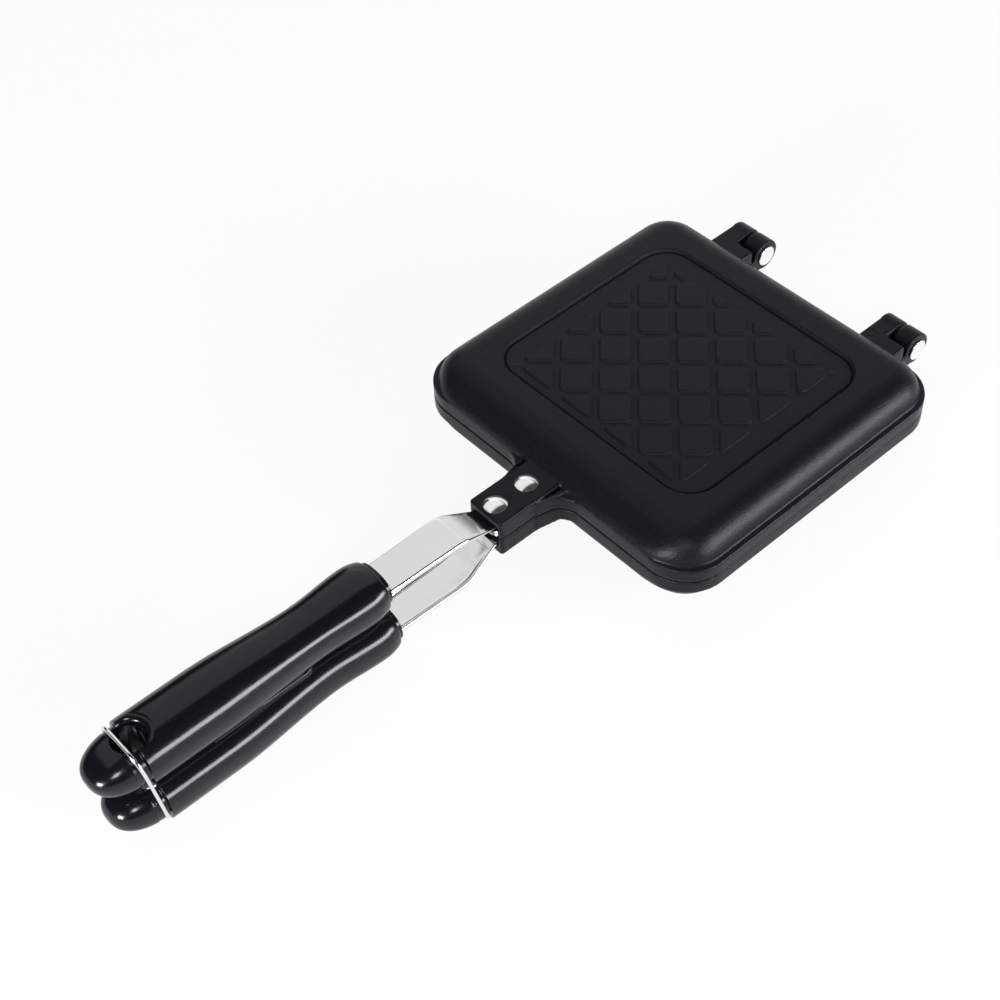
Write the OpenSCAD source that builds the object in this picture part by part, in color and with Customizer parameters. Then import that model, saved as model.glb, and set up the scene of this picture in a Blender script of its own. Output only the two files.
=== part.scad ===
// Square two-pan pie iron (sandwich toaster) with a riveted, clipped double handle.
// Millimetres. The handle points to -X, the hinges to +X, the width lies along Y.
// The origin is the centre of the lower pan's flat underside, and +Z is up.

/* [Pans] */
// Length of a pan from the handle side to the hinge side
pan_length = 152; // [130:0.1:200]
// Width of a pan across the handle
pan_width = 159; // [140:0.1:200]
// Radius of a pan's corners, seen from above
pan_corner_r = 19.5; // [18:0.5:26]
// Height of one pan from its rim face to its flat top
pan_height = 17.8; // [16.5:0.1:20]
// Height of the upright rim of one pan
rim_height = 6.5; // [6:0.1:8]
// Radius of the round shoulder between rim and flat top
shoulder_r = 12.7; // [10:0.1:14]
// Width of the ledge between rim edge and shoulder
ledge_w = 2.4; // [1.5:0.1:3]
// Thickness of the cast wall
wall = 2.8; // [2:0.1:3.5]
// Gap between the two rims when the iron is shut
rim_gap = 0.3; // [0.3:0.1:0.6]

/* [Lattice panel] */
// Length of the recessed panel along the iron
panel_length = 105; // [100:0.5:112]
// Width of the recessed panel
panel_width = 115; // [104:0.5:118]
// Radius of the panel's corners
panel_corner_r = 14; // [10:0.5:20]
// Depth of the recess in the flat top
panel_depth = 1.2; // [0.8:0.1:1.4]
// Distance between the grooves that run from the near left to the far right
groove_pitch_a = 16; // [14:0.1:20]
// Distance between the grooves that cross them
groove_pitch_b = 17.4; // [14:0.1:20]
// Width of a groove between two pads
groove_w = 2.6; // [2:0.1:4]
// Height of a pad above the recess
pad_height = 0.9; // [0.5:0.1:1.1]
// Length of the field of pads
pad_field_length = 90; // [80:0.5:98]
// Width of the field of pads
pad_field_width = 94; // [80:0.5:102]
// How far the field of pads sits nearer the handle than the panel
pad_field_shift = 2.5; // [0:0.1:3.5]
// Radius of the corners of the field of pads
pad_field_corner_r = 5; // [2:0.5:12]
// Number of grooves on each side of the middle one
groove_half_count = 3; // [2:1:5]
// Height of the ribs inside that follow the grooves
inner_rib_height = 0.8; // [0.5:0.1:1]

/* [Neck] */
// Length of the neck beyond the rim
neck_length = 30.9; // [28:0.1:36]
// Width of the neck
neck_width = 18.6; // [17:0.1:24]
// Height of the neck of one pan
neck_height = 9.1; // [8.6:0.1:10]
// Thickness of the neck's side walls
neck_wall = 2.2; // [1.8:0.1:2.6]
// Depth of the open socket in the neck
socket_depth = 27; // [25.5:0.1:28]
// Radius of the fillets between neck and rim
neck_fillet_r = 12; // [8:0.5:16]
// Thickness of the neck's roof above the steel
neck_roof = 3.5; // [3:0.1:4]
// Radius of the neck's upright corners
neck_corner_r = 1.2; // [0.5:0.1:1.8]

/* [Rivets] */
// Distance from the neck's end to the first rivet
rivet_setback = 5.6; // [5.2:0.1:6]
// Distance between the two rivets of a neck
rivet_pitch = 16.5; // [14:0.1:17.5]
// Diameter of a rivet's dome
rivet_head_d = 9.6; // [8:0.1:9.8]
// Height of a rivet's dome
rivet_head_h = 1.7; // [1.2:0.1:2.2]
// Diameter of a rivet's shaft
rivet_d = 5; // [4:0.1:5.4]
// Height of the flattened tail of a rivet
rivet_tail_h = 1.2; // [0.8:0.1:1.6]

/* [Hinges] */
// Distance from the rim to the pin axis
hinge_reach = 16.4; // [16:0.1:20]
// Distance between the middles of the two hinges
hinge_spacing = 86; // [70:0.1:100]
// Width of one knuckle
knuckle_w = 8.8; // [7:0.1:10]
// Outer radius of a knuckle
knuckle_r = 7.4; // [6.2:0.1:7.8]
// Gap between the two knuckles of a hinge
knuckle_gap = 1.4; // [0.3:0.1:2]
// Gap round a knuckle where the other leaf is notched
notch_gap = 1.5; // [0.5:0.1:2]
// How far the flat top of a leaf lies below the top of its knuckle
leaf_drop = 0.3; // [0.2:0.1:1]
// Diameter of a hinge pin
pin_d = 6; // [5:0.1:6.4]
// Radial running clearance of a pin in its bores
pin_clearance = 0.05; // [0.03:0.01:0.09]
// Diameter of a pin's peened head
pin_head_d = 9.4; // [8:0.1:10]
// Thickness of a pin's peened head
pin_head_h = 1; // [0.8:0.1:1.3]
// Gap between a peened head and its knuckle
pin_head_gap = 0.1; // [0.05:0.05:0.3]

/* [Shanks] */
// Thickness of the steel sheet
sheet = 1.2; // [1:0.1:1.4]
// Width of the tongue inside the neck
tongue_w = 12.8; // [12:0.1:13.6]
// Width of a shank at its widest, just after the bend
shank_w = 17.8; // [17:0.1:21]
// Width of a shank where it enters the grip
shank_grip_w = 16.6; // [15:0.1:16.8]
// Height of the middle of the steel inside the grips above the parting plane
tang_height = 13.1; // [12:0.1:13.6]
// Share of the free steel, between neck and grip, over which it rises and widens
rise_share = 0.331; // [0.3:0.001:0.4]
// Depth of the turned edges that face the other shank
flange_depth = 2.2; // [1.8:0.1:4]
// Width of the tang inside the grip
tang_w = 10; // [8:0.1:11]
// Length of the tang inside the grip
tang_length = 90; // [80:1:92]
// How far the lower grip sits nearer the pans than the upper one
lower_grip_shift = 2.5; // [0:0.5:5]

/* [Grips] */
// Overall length of the iron, from the hinge knuckles to the grips' ends
overall_length = 390; // [386:0.5:420]
// Length of a grip
grip_length = 129.5; // [126:0.5:140]
// Half width of a grip at its front bulge
front_half_w = 12.3; // [12:0.1:14]
// Half width of a grip at its waist
waist_half_w = 11; // [10.8:0.1:12.5]
// Half width of a grip at its palm swell
swell_half_w = 13.4; // [13:0.1:13.6]
// Height of the front bulge above the parting plane
front_crown = 22.3; // [22:0.1:24]
// Height of the waist above the parting plane
waist_crown = 21.4; // [21:0.1:23]
// Height of the palm swell above the parting plane
swell_crown = 24.35; // [24:0.05:24.6]
// Distance from a grip's front to the back of its front bulge
bulge_at = 10; // [8:0.5:12]
// Distance from a grip's front to its waist
waist_at = 33; // [30:0.5:38]
// Distance from a grip's front to the start of its full palm swell
swell_at = 80; // [70:0.5:100]
// Distance of a grip's inner face from the parting plane
inner_gap = 1.5; // [1:0.1:2.5]
// Length of the stepped collar at a grip's front
collar_length = 2; // [1.5:0.1:3]
// How far the collar is set in from the grip
collar_inset = 1.6; // [1:0.1:2.5]
// Radius of the hanging hole
hang_hole_r = 6.3; // [5:0.1:6.8]
// Radius of the rounded lip of the hanging hole
hang_lip_r = 2.9; // [1.5:0.1:3]
// Depth of the lip's top below the crown of the grip
hang_lip_drop = 1.4; // [1:0.1:2]
// Distance from a grip's end to the middle of the hanging hole
hang_hole_setback = 19.5; // [18:0.1:22]
// How far the tail of a grip is set in behind the clip's step
tail_inset = 1.7; // [1.5:0.1:2.2]
// How far the clip's step lies behind the middle of the hanging hole
step_setback = 0.3; // [0:0.1:0.5]
// Extra depth of the clip's groove below the tail
groove_inset = 0.3; // [0.2:0.1:0.6]
// Length of the clip's groove along the grip
clip_groove_w = 9.4; // [9:0.1:10]
// Diameter of a grip screw's thread
screw_d = 4; // [3:0.1:4.5]
// Diameter of a grip screw's countersunk head
screw_head_d = 7.6; // [6.5:0.1:8.5]
// Length of a grip screw
screw_length = 16; // [14:0.5:17]
// Distance from a grip's front to its screw
screw_setback = 64; // [55:1:70]
// Depth of a screw's head below the inner land
screw_sink = 0.5; // [0.4:0.1:0.8]
// Length of each slot of a screw's cross recess
drive_length = 4.4; // [3.6:0.1:5]
// Width of each slot of the cross recess
drive_w = 0.9; // [0.7:0.1:1.2]
// Depth of the cross recess
drive_depth = 1.1; // [0.8:0.1:1.3]
// Length of the raised land on a grip's inner face
land_length = 54; // [44:1:56]
// Half width of the land
land_half_w = 7; // [6:0.1:8]

/* [Wire clip] */
// Diameter of the wire
wire_d = 1.5; // [1.2:0.1:1.8]
// Half distance between the middles of the clip's legs
leg_half_gap = 13.1; // [13:0.1:14.6]
// Radius of the clip's bent corners
clip_bend_r = 9; // [5:0.5:9.5]
// Depth of the clip's pivot below the parting plane
pivot_drop = 15; // [14:0.1:15.5]
// Height of the clip's top bar above the parting plane
bar_height = 22.9; // [22.9:0.1:23.6]
// Distance that the top bar lies behind the pivot
bar_lean = 4; // [3.5:0.1:4.5]
// Radial clearance of the wire in its pivot holes
wire_clearance = 0.08; // [0.05:0.01:0.1]

/* [Hidden] */

$fn = 96;
seat = 0.02;    // air between pieces that are riveted or screwed face to face
cut = 1;        // how far a cutting shape runs past the surface that it opens
lattice_offset = 1.5;   // how far one set of grooves lies off the middle

rim_x = pan_length / 2;
rim_y = pan_width / 2;
half_gap = rim_gap / 2;
dome_corner_r = pan_corner_r - ledge_w;
cavity_inset = ledge_w + wall;
cavity_corner_r = pan_corner_r - cavity_inset;
cavity_edge_r = shoulder_r - wall;

neck_end_x = -rim_x - neck_length;
tongue_z = neck_height - sheet - neck_roof;
tongue_top = tongue_z + sheet;
socket_half_w = neck_width / 2 - neck_wall;
rivet_xs = [neck_end_x + rivet_setback, neck_end_x + rivet_setback + rivet_pitch];
rivet_hole_d = rivet_d + 2 * seat;

hinge_x = rim_x + hinge_reach;
hinge_half_w = knuckle_w + knuckle_gap / 2;
leaf_end_x = hinge_x - knuckle_r - notch_gap;
leaf_top = knuckle_r - leaf_drop;
hinge_ys = [hinge_spacing / 2, -hinge_spacing / 2];

grip_end_x = hinge_x + knuckle_r - overall_length;
grip_front_x = grip_end_x + grip_length;
hole_x = grip_end_x + hang_hole_setback;
step_x = hole_x - step_setback;
section_z = tang_height;
web_top = tang_height + sheet / 2;
web_bottom = tang_height - sheet / 2;
free_length = neck_end_x - grip_front_x - lower_grip_shift;
rise_end_x = neck_end_x - free_length * rise_share;
tang_end_x = grip_front_x - tang_length;
screw_x = grip_front_x - screw_setback;
pivot_x = hole_x;

// Places a lower piece: the lower half is the upper half turned over about the X axis.
module lower_half() {
    translate([0, 0, pan_height])
        rotate([180, 0, 0])
            children();
}

module upper_half() {
    translate([0, 0, pan_height])
        children();
}

// ---- Pans ----

module rounded_rect(x, y, r) {
    square([x - 2 * r, y], center = true);
    square([x, y - 2 * r], center = true);
    for (sx = [-1, 1], sy = [-1, 1])
        translate([sx * (x / 2 - r), sy * (y / 2 - r)])
            circle(r);
}

// Half of the cross section of a slab whose top edge is rounded.
module edge_profile(reach, height, edge_r) {
    square([reach - edge_r, height]);
    square([reach, height - edge_r]);
    translate([reach - edge_r, height - edge_r])
        intersection() {
            circle(edge_r);
            square(edge_r);
        }
}

module bar_profile(width, height, edge_r) {
    edge_profile(width / 2, height, edge_r);
    mirror([1, 0])
        edge_profile(width / 2, height, edge_r);
}

// A rounded square slab with a round shoulder along its top edge.
module soft_slab(x, y, corner_r, height, edge_r) {
    run_x = x - 2 * corner_r;
    run_y = y - 2 * corner_r;
    for (a = [0, 1, 2, 3])
        translate([(a == 0 || a == 3 ? 1 : -1) * run_x / 2, (a < 2 ? 1 : -1) * run_y / 2, 0])
            rotate([0, 0, 90 * a])
                rotate_extrude(angle = 90)
                    edge_profile(corner_r, height, edge_r);
    translate([-run_x / 2, 0, 0])
        rotate([90, 0, 90])
            linear_extrude(run_x)
                bar_profile(y, height, edge_r);
    translate([0, run_y / 2, 0])
        rotate([90, 0, 0])
            linear_extrude(run_y)
                bar_profile(x, height, edge_r);
}

// The crossing grooves that part the pads, as one set of bars.
module lattice_bars(bar_w, height) {
    reach = panel_width * 1.5;
    for (i = [-groove_half_count : groove_half_count]) {
        rotate([0, 0, 45])
            translate([-reach / 2, i * groove_pitch_a - bar_w / 2 + lattice_offset, 0])
                cube([reach, bar_w, height]);
        rotate([0, 0, -45])
            translate([-reach / 2, i * groove_pitch_b - bar_w / 2, 0])
                cube([reach, bar_w, height]);
    }
}

module pad_field() {
    translate([-pad_field_shift, 0])
        rounded_rect(pad_field_length, pad_field_width, pad_field_corner_r);
}

module panel_recess() {
    floor_z = pan_height - panel_depth;
    difference() {
        translate([0, 0, floor_z])
            linear_extrude(panel_depth + cut)
                rounded_rect(panel_length, panel_width, panel_corner_r);
        difference() {
            translate([0, 0, floor_z - cut])
                linear_extrude(pad_height + cut)
                    pad_field();
            translate([0, 0, floor_z - 2 * cut])
                lattice_bars(groove_w, pad_height + 4 * cut);
        }
    }
}

// Ribs on the inside, under the grooves of the outside.
module inner_ribs() {
    top = pan_height - wall;
    intersection() {
        translate([0, 0, top - inner_rib_height])
            linear_extrude(inner_rib_height + wall / 2)
                pad_field();
        translate([0, 0, top - inner_rib_height - cut])
            lattice_bars(groove_w, inner_rib_height + wall / 4 + cut);
    }
}

module neck_block() {
    block_length = neck_length + ledge_w + wall;
    translate([neck_end_x + block_length / 2, 0, half_gap])
        linear_extrude(neck_height - half_gap)
            rounded_rect(block_length, neck_width, neck_corner_r);
}

// Webs with a concave edge, one on each side of the neck.
module neck_fillets() {
    for (side = [-1, 1])
        difference() {
            translate([-rim_x - neck_fillet_r, side > 0 ? 0 : -neck_width / 2 - neck_fillet_r, half_gap])
                cube([neck_fillet_r + ledge_w, neck_width / 2 + neck_fillet_r, rim_height - half_gap]);
            translate([-rim_x - neck_fillet_r, side * (neck_width / 2 + neck_fillet_r), -cut])
                cylinder(r = neck_fillet_r, h = rim_height + 2 * cut);
        }
}

module hinge_leaf(y) {
    translate([rim_x - wall, y - hinge_half_w, half_gap])
        cube([leaf_end_x - rim_x + wall, 2 * hinge_half_w, leaf_top - half_gap]);
    translate([leaf_end_x - cut, y + knuckle_gap / 2, half_gap])
        cube([hinge_x - leaf_end_x + cut, knuckle_w, leaf_top - half_gap]);
    translate([hinge_x, y + knuckle_gap / 2, 0])
        rotate([-90, 0, 0])
            cylinder(r = knuckle_r, h = knuckle_w);
}

module neck_socket() {
    translate([neck_end_x - cut, -socket_half_w, -cut])
        cube([socket_depth + cut, 2 * socket_half_w, tongue_top + cut]);
    for (x = rivet_xs)
        translate([x, 0, 0])
            cylinder(d = rivet_hole_d, h = neck_height + cut);
}

module casting() {
    difference() {
        union() {
            translate([0, 0, half_gap])
                linear_extrude(rim_height - half_gap)
                    rounded_rect(pan_length, pan_width, pan_corner_r);
            translate([0, 0, half_gap])
                soft_slab(pan_length - 2 * ledge_w, pan_width - 2 * ledge_w,
                          dome_corner_r, pan_height - half_gap, shoulder_r);
            neck_block();
            neck_fillets();
            for (y = hinge_ys)
                hinge_leaf(y);
        }
        translate([0, 0, -cut])
            soft_slab(pan_length - 2 * cavity_inset, pan_width - 2 * cavity_inset,
                      cavity_corner_r, pan_height - wall + cut, cavity_edge_r);
        panel_recess();
        neck_socket();
        for (y = hinge_ys)
            translate([hinge_x, y - hinge_half_w - cut, 0])
                rotate([-90, 0, 0])
                    cylinder(r = pin_d / 2 + pin_clearance, h = 2 * (hinge_half_w + cut));
    }
    inner_ribs();
}

module upper_pan() {
    color("#26282b")
        upper_half()
            casting();
}

module lower_pan() {
    color("#26282b")
        lower_half()
            casting();
}

// ---- Hinge pins ----

// Half profile of a pin along its axis: a shaft with a peened head at each end.
module pin_profile() {
    reach = hinge_half_w + pin_head_gap;
    square([pin_d / 2, reach + pin_head_h / 2]);
    translate([0, reach])
        square([pin_head_d / 2, pin_head_h / 2]);
    translate([0, reach + pin_head_h / 2])
        square([pin_head_d / 2 - pin_head_h / 2, pin_head_h / 2]);
    translate([pin_head_d / 2 - pin_head_h / 2, reach + pin_head_h / 2])
        intersection() {
            circle(pin_head_h / 2);
            square(pin_head_h / 2);
        }
}

module hinge_pin(y) {
    color("#c9cbcd")
        translate([hinge_x, y, pan_height])
            for (turn = [90, -90])
                rotate([turn, 0, 0])
                    rotate_extrude()
                        pin_profile();
}

module left_hinge_pin() {
    hinge_pin(hinge_ys[0]);
}

module right_hinge_pin() {
    hinge_pin(hinge_ys[1]);
}

// ---- Rivets ----

module rivet(x) {
    dome_r = (rivet_head_h * rivet_head_h + rivet_head_d * rivet_head_d / 4) / (2 * rivet_head_h);
    top = neck_height + seat;
    bottom = tongue_z - seat;
    color("#d7d8da")
        translate([x, 0, 0]) {
            intersection() {
                translate([0, 0, top + rivet_head_h - dome_r])
                    sphere(dome_r);
                translate([0, 0, top])
                    cylinder(d = rivet_head_d + 2, h = rivet_head_h + cut);
            }
            translate([0, 0, bottom])
                cylinder(d = rivet_d, h = top - bottom + rivet_head_h / 2);
            translate([0, 0, bottom - rivet_tail_h])
                cylinder(d = rivet_d + 2, h = rivet_tail_h);
        }
}

module upper_front_rivet() {
    upper_half()
        rivet(rivet_xs[0]);
}

module upper_rear_rivet() {
    upper_half()
        rivet(rivet_xs[1]);
}

module lower_front_rivet() {
    lower_half()
        rivet(rivet_xs[0]);
}

module lower_rear_rivet() {
    lower_half()
        rivet(rivet_xs[1]);
}

// ---- Shanks ----

tongue_start_x = neck_end_x + socket_depth - 1;

// Outline of a shank from above, drawn in by "inset" on each side.
module shank_plan(inset, end_x) {
    half_tongue = tongue_w / 2 - inset;
    half_wide = shank_w / 2 - inset;
    half_grip = shank_grip_w / 2 - inset;
    polygon([
        [tongue_start_x, -half_tongue], [neck_end_x - 1, -half_tongue],
        [rise_end_x, -half_wide], [end_x, -half_grip],
        [end_x, half_grip], [rise_end_x, half_wide],
        [neck_end_x - 1, half_tongue], [tongue_start_x, half_tongue]
    ]);
}

// Side view of the steel with its turned edges: flat tongue, rising bend, flat web.
module shank_side(end_x) {
    skirt = flange_depth - sheet;
    polygon([
        [tongue_start_x, tongue_z - seat], [tongue_start_x, tongue_top - seat],
        [neck_end_x - 1, tongue_top - seat], [rise_end_x, web_top], [end_x, web_top],
        [end_x, web_bottom - skirt], [rise_end_x, web_bottom - skirt],
        [neck_end_x - 1, tongue_z - seat]
    ]);
}

// The hollow under the web, between the turned edges.
module shank_inside(end_x) {
    polygon([
        [neck_end_x - 1, tongue_z - seat - 2 * cut], [neck_end_x - 1, tongue_z - seat],
        [rise_end_x, web_bottom], [end_x + cut, web_bottom],
        [end_x + cut, 0], [rise_end_x, 0]
    ]);
}

module in_side_view(half_w) {
    translate([0, half_w, 0])
        rotate([90, 0, 0])
            linear_extrude(2 * half_w)
                children();
}

module shank(shift) {
    half_w = shank_w / 2 + cut;
    end_x = grip_front_x + shift + 2 * seat;
    difference() {
        union() {
            difference() {
                intersection() {
                    in_side_view(half_w)
                        shank_side(end_x);
                    linear_extrude(web_top + cut)
                        shank_plan(0, end_x);
                }
                intersection() {
                    in_side_view(half_w)
                        shank_inside(end_x);
                    translate([0, 0, -cut])
                        linear_extrude(web_top + 2 * cut)
                            shank_plan(sheet, end_x);
                }
            }
            translate([tang_end_x + shift, -tang_w / 2, web_bottom])
                cube([tang_length + 2 * sheet, tang_w, sheet]);
        }
        for (x = rivet_xs)
            translate([x, 0, 0])
                cylinder(d = rivet_hole_d, h = web_top);
        translate([screw_x + shift, 0, 0])
            cylinder(d = screw_d + 2 * seat, h = web_top + cut);
    }
}

module upper_shank() {
    color("#dcdde0")
        upper_half()
            shank(0);
}

module lower_shank() {
    color("#dcdde0")
        lower_half()
            shank(lower_grip_shift);
}

// ---- Grips ----

// Stations along a grip, from its front: distance, half width, height of the crown.
grip_stations = [
    [collar_length, front_half_w, front_crown],
    [bulge_at, front_half_w, front_crown],
    [waist_at, waist_half_w, waist_crown],
    [swell_at, swell_half_w, swell_crown],
    [grip_length, swell_half_w, swell_crown]
];
front_round = 8;                        // length of the rounded front
front_draw = 0.14;                      // share by which the front is drawn in
front_power = 2.2;                      // how evenly it is drawn in
tail_power = 2.1;                       // how full the rounded tail is
side_power = 0.86;                      // fullness of the section's sides,
crown_power = 0.9;                      // of its outer half
inner_power = 0.74;                     // and of its inner half
tail_round = hang_hole_setback;         // length of the rounded tail, seen from above
tail_fall = hang_hole_setback + 5;      // length over which the crown falls to the tail
ring_sides = 36;

function station(u, i = 0) =
    (i >= len(grip_stations) - 2 || u < grip_stations[i + 1][0]) ? i : station(u, i + 1);

// Value of a column at distance u, easing from one station to the next.
function eased(u, col) =
    let (i = station(u))
    let (p = grip_stations[i], q = grip_stations[i + 1])
    let (t = max(0, min(1, (u - p[0]) / (q[0] - p[0]))))
    p[col] + (q[col] - p[col]) * t * t * (3 - 2 * t);

// Share of the full section that is left at the rounded front and at the tail.
function front_share(u) =
    let (f = max(0, (collar_length + front_round - u) / front_round))
    1 - front_draw * pow(min(1, f), front_power);

function tail_share(u, length) =
    let (t = max(0, (u - grip_length + length) / length))
    pow(max(0, 1 - pow(min(1, t), tail_power)), 1 / tail_power);

function power(v, n) = sign(v) * pow(abs(v), n);

// One ring of a grip at distance u, set in by "inset" all round.
function grip_ring(u, inset) =
    let (side_share = front_share(u) * tail_share(u, tail_round))
    let (crown_share = front_share(u) * tail_share(u, tail_fall))
    let (a = (eased(u, 1) - inset) * side_share)
    let (up = (eased(u, 2) - section_z - inset) * crown_share)
    let (down = (section_z - inner_gap - inset) * side_share)
    [for (k = [0 : ring_sides - 1])
        let (angle = 360 * k / ring_sides)
        let (c = power(cos(angle), side_power))
        let (s = power(sin(angle), sin(angle) > 0 ? crown_power : inner_power))
        [grip_front_x - u, a * c, section_z + (s > 0 ? up : down) * s]];

// A closed solid through rings of equal point counts.
module loft(rings) {
    n = len(rings[0]);
    last = len(rings) - 1;
    points = [for (ring = rings, p = ring) p];
    sides = [for (i = [0 : last - 1], k = [0 : n - 1])
        let (a = i * n + k, b = i * n + (k + 1) % n)
        each [[a, b, a + n], [b, b + n, a + n]]];
    ends = [[for (k = [n - 1 : -1 : 0]) k], [for (k = [0 : n - 1]) last * n + k]];
    polyhedron(points = points, faces = concat(sides, ends), convexity = 4);
}

// Distances of the rings: close together in the rounded ends.
front_steps = [for (i = [0 : 6]) collar_length + front_round * (1 - cos(15 * i))];
tail_start = grip_length - tail_fall;
body_steps = [for (i = [1 : 13]) collar_length + front_round
    + (tail_start - collar_length - front_round) * i / 14];
tail_steps = [for (i = [0 : 10]) tail_start + tail_fall * sin(i * 8.7)];
grip_steps = concat(front_steps, body_steps, tail_steps);

module grip_body(inset) {
    loft([for (u = grip_steps) grip_ring(u, inset)]);
}

// The slice of the grip behind the step, where the tail is set in.
module behind(x, length) {
    translate([x - length, -swell_half_w - cut, -cut])
        cube([length, 2 * (swell_half_w + cut), swell_crown + 3 * cut]);
}

module collar() {
    ring = grip_ring(collar_length, collar_inset);
    loft([
        [for (p = ring) p + [collar_length, 0, 0]],
        [for (p = ring) p - [collar_length, 0, 0]]
    ]);
}

// The long raised land on the inner face, rooted in the body of the grip.
module inner_land() {
    land_root = 3;
    translate([screw_x, 0, half_gap])
        linear_extrude(inner_gap + land_root) {
            square([land_length - 2 * land_half_w, 2 * land_half_w], center = true);
            for (side = [-1, 1])
                translate([side * (land_length / 2 - land_half_w), 0])
                    circle(land_half_w);
        }
}

module hang_hole() {
    lip_top = swell_crown - hang_lip_drop;
    translate([hole_x, 0, 0]) {
        translate([0, 0, -cut])
            cylinder(r = hang_hole_r, h = swell_crown + 2 * cut);
        translate([0, 0, lip_top])
            cylinder(r = hang_hole_r + hang_lip_r, h = hang_lip_drop + cut);
        translate([0, 0, lip_top - hang_lip_r])
            rotate_extrude()
                translate([hang_hole_r - seat, 0])
                    difference() {
                        square([hang_lip_r + seat, hang_lip_r + seat]);
                        translate([hang_lip_r + seat, 0])
                            circle(hang_lip_r);
                    }
    }
}

// Room for the tang, the screw and its head.
module grip_inside() {
    slot_gap = 0.1;
    blind_gap = 1.3;
    head_gap = 0.1;
    translate([tang_end_x - cut, -tang_w / 2 - slot_gap, web_bottom - slot_gap])
        cube([tang_length + front_round + 2 * cut, tang_w + 2 * slot_gap, sheet + 2 * slot_gap]);
    translate([screw_x, 0, 0]) {
        translate([0, 0, -cut])
            cylinder(d = screw_d + 2 * slot_gap, h = screw_length + half_gap + blind_gap + cut);
        translate([0, 0, -cut])
            cylinder(d = screw_head_d + 2 * slot_gap, h = half_gap + screw_sink - head_gap + cut);
        translate([0, 0, half_gap + screw_sink - head_gap])
            cylinder(d1 = screw_head_d + 2 * slot_gap, d2 = screw_d + 2 * slot_gap,
                     h = (screw_head_d - screw_d) / 2);
    }
}

// A grip set "shift" nearer the pans, with or without the clip's pivot holes.
module grip(shift, with_pivots) {
    translate([shift, 0, 0])
        difference() {
            union() {
                difference() {
                    grip_body(0);
                    behind(step_x, hang_hole_setback + 3 * cut);
                }
                difference() {
                    intersection() {
                        grip_body(tail_inset);
                        behind(step_x + cut, hang_hole_setback + 5 * cut);
                    }
                    difference() {
                        behind(step_x, clip_groove_w);
                        grip_body(tail_inset + groove_inset);
                    }
                }
                collar();
                inner_land();
            }
            hang_hole();
            grip_inside();
            if (with_pivots)
                translate([pivot_x - shift, -swell_half_w - cut, pivot_drop])
                    rotate([-90, 0, 0])
                        cylinder(d = wire_d + 2 * wire_clearance, h = 2 * (swell_half_w + cut));
        }
}

module upper_grip() {
    color("#202123")
        upper_half()
            grip(0, false);
}

module lower_grip() {
    color("#202123")
        lower_half()
            grip(lower_grip_shift, true);
}

// ---- Grip screws ----

module grip_screw(shift) {
    head_z = half_gap + screw_sink;
    cone_h = (screw_head_d - screw_d) / 2 - seat;
    color("#b9bbbe")
        translate([screw_x + shift, 0, 0])
            difference() {
                union() {
                    translate([0, 0, head_z])
                        cylinder(d1 = screw_head_d, d2 = screw_d, h = cone_h);
                    translate([0, 0, head_z + cone_h / 2])
                        cylinder(d = screw_d, h = screw_length - cone_h / 2);
                }
                for (turn = [0, 90])
                    rotate([0, 0, turn])
                        translate([-drive_length / 2, -drive_w / 2, head_z - cut])
                            cube([drive_length, drive_w, cut + drive_depth]);
            }
}

module upper_grip_screw() {
    upper_half()
        grip_screw(0);
}

module lower_grip_screw() {
    lower_half()
        grip_screw(lower_grip_shift);
}

// ---- Wire clip ----

// A bail of round wire: its ends turn into the lower grip, its bar lies across the upper grip.
module wire_clip() {
    rise = bar_height + pivot_drop;
    lean = atan(bar_lean / rise);
    reach = sqrt(rise * rise + bar_lean * bar_lean);
    end_r = wire_d * 0.8;       // radius of the bend into the pivot hole
    hole_gap = 0.8;             // how far the wire's ends stop short of the hanging hole
    end_length = leg_half_gap - hang_hole_r - hole_gap - end_r;
    leg_length = reach - clip_bend_r - end_r;
    color("#cfd1d3")
        translate([pivot_x, 0, pan_height - pivot_drop])
            rotate([0, -lean, 0]) {
                for (side = [-1, 1])
                    mirror([0, side < 0 ? 1 : 0, 0]) {
                        translate([0, leg_half_gap - end_r - end_length, 0])
                            rotate([-90, 0, 0])
                                cylinder(d = wire_d, h = end_length);
                        translate([0, leg_half_gap - end_r, end_r])
                            rotate([0, 90, 0])
                                rotate_extrude(angle = 90)
                                    translate([end_r, 0])
                                        circle(d = wire_d);
                        translate([0, leg_half_gap, end_r])
                            cylinder(d = wire_d, h = leg_length);
                        translate([0, leg_half_gap - clip_bend_r, reach - clip_bend_r])
                            rotate([90, 0, 90])
                                rotate_extrude(angle = 90)
                                    translate([clip_bend_r, 0])
                                        circle(d = wire_d);
                    }
                translate([0, -leg_half_gap + clip_bend_r, reach])
                    rotate([-90, 0, 0])
                        cylinder(d = wire_d, h = 2 * (leg_half_gap - clip_bend_r));
            }
}

upper_pan();
lower_pan();
left_hinge_pin();
right_hinge_pin();
upper_shank();
lower_shank();
upper_front_rivet();
upper_rear_rivet();
lower_front_rivet();
lower_rear_rivet();
upper_grip();
lower_grip();
upper_grip_screw();
lower_grip_screw();
wire_clip();
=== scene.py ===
"""Pie iron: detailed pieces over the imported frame, with a plain studio.

Every piece is built in metres in the frame's own axes: the handle points to -X,
the hinges to +X, the width lies along Y and +Z is up. The upper and the lower
half are the same castings and mouldings, so each is built once, in a half frame
whose height 0 is the plane where the two rims meet, and then placed twice.
"""

import math

import bmesh
import bpy
import numpy as np
from mathutils import Matrix, Vector


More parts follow.
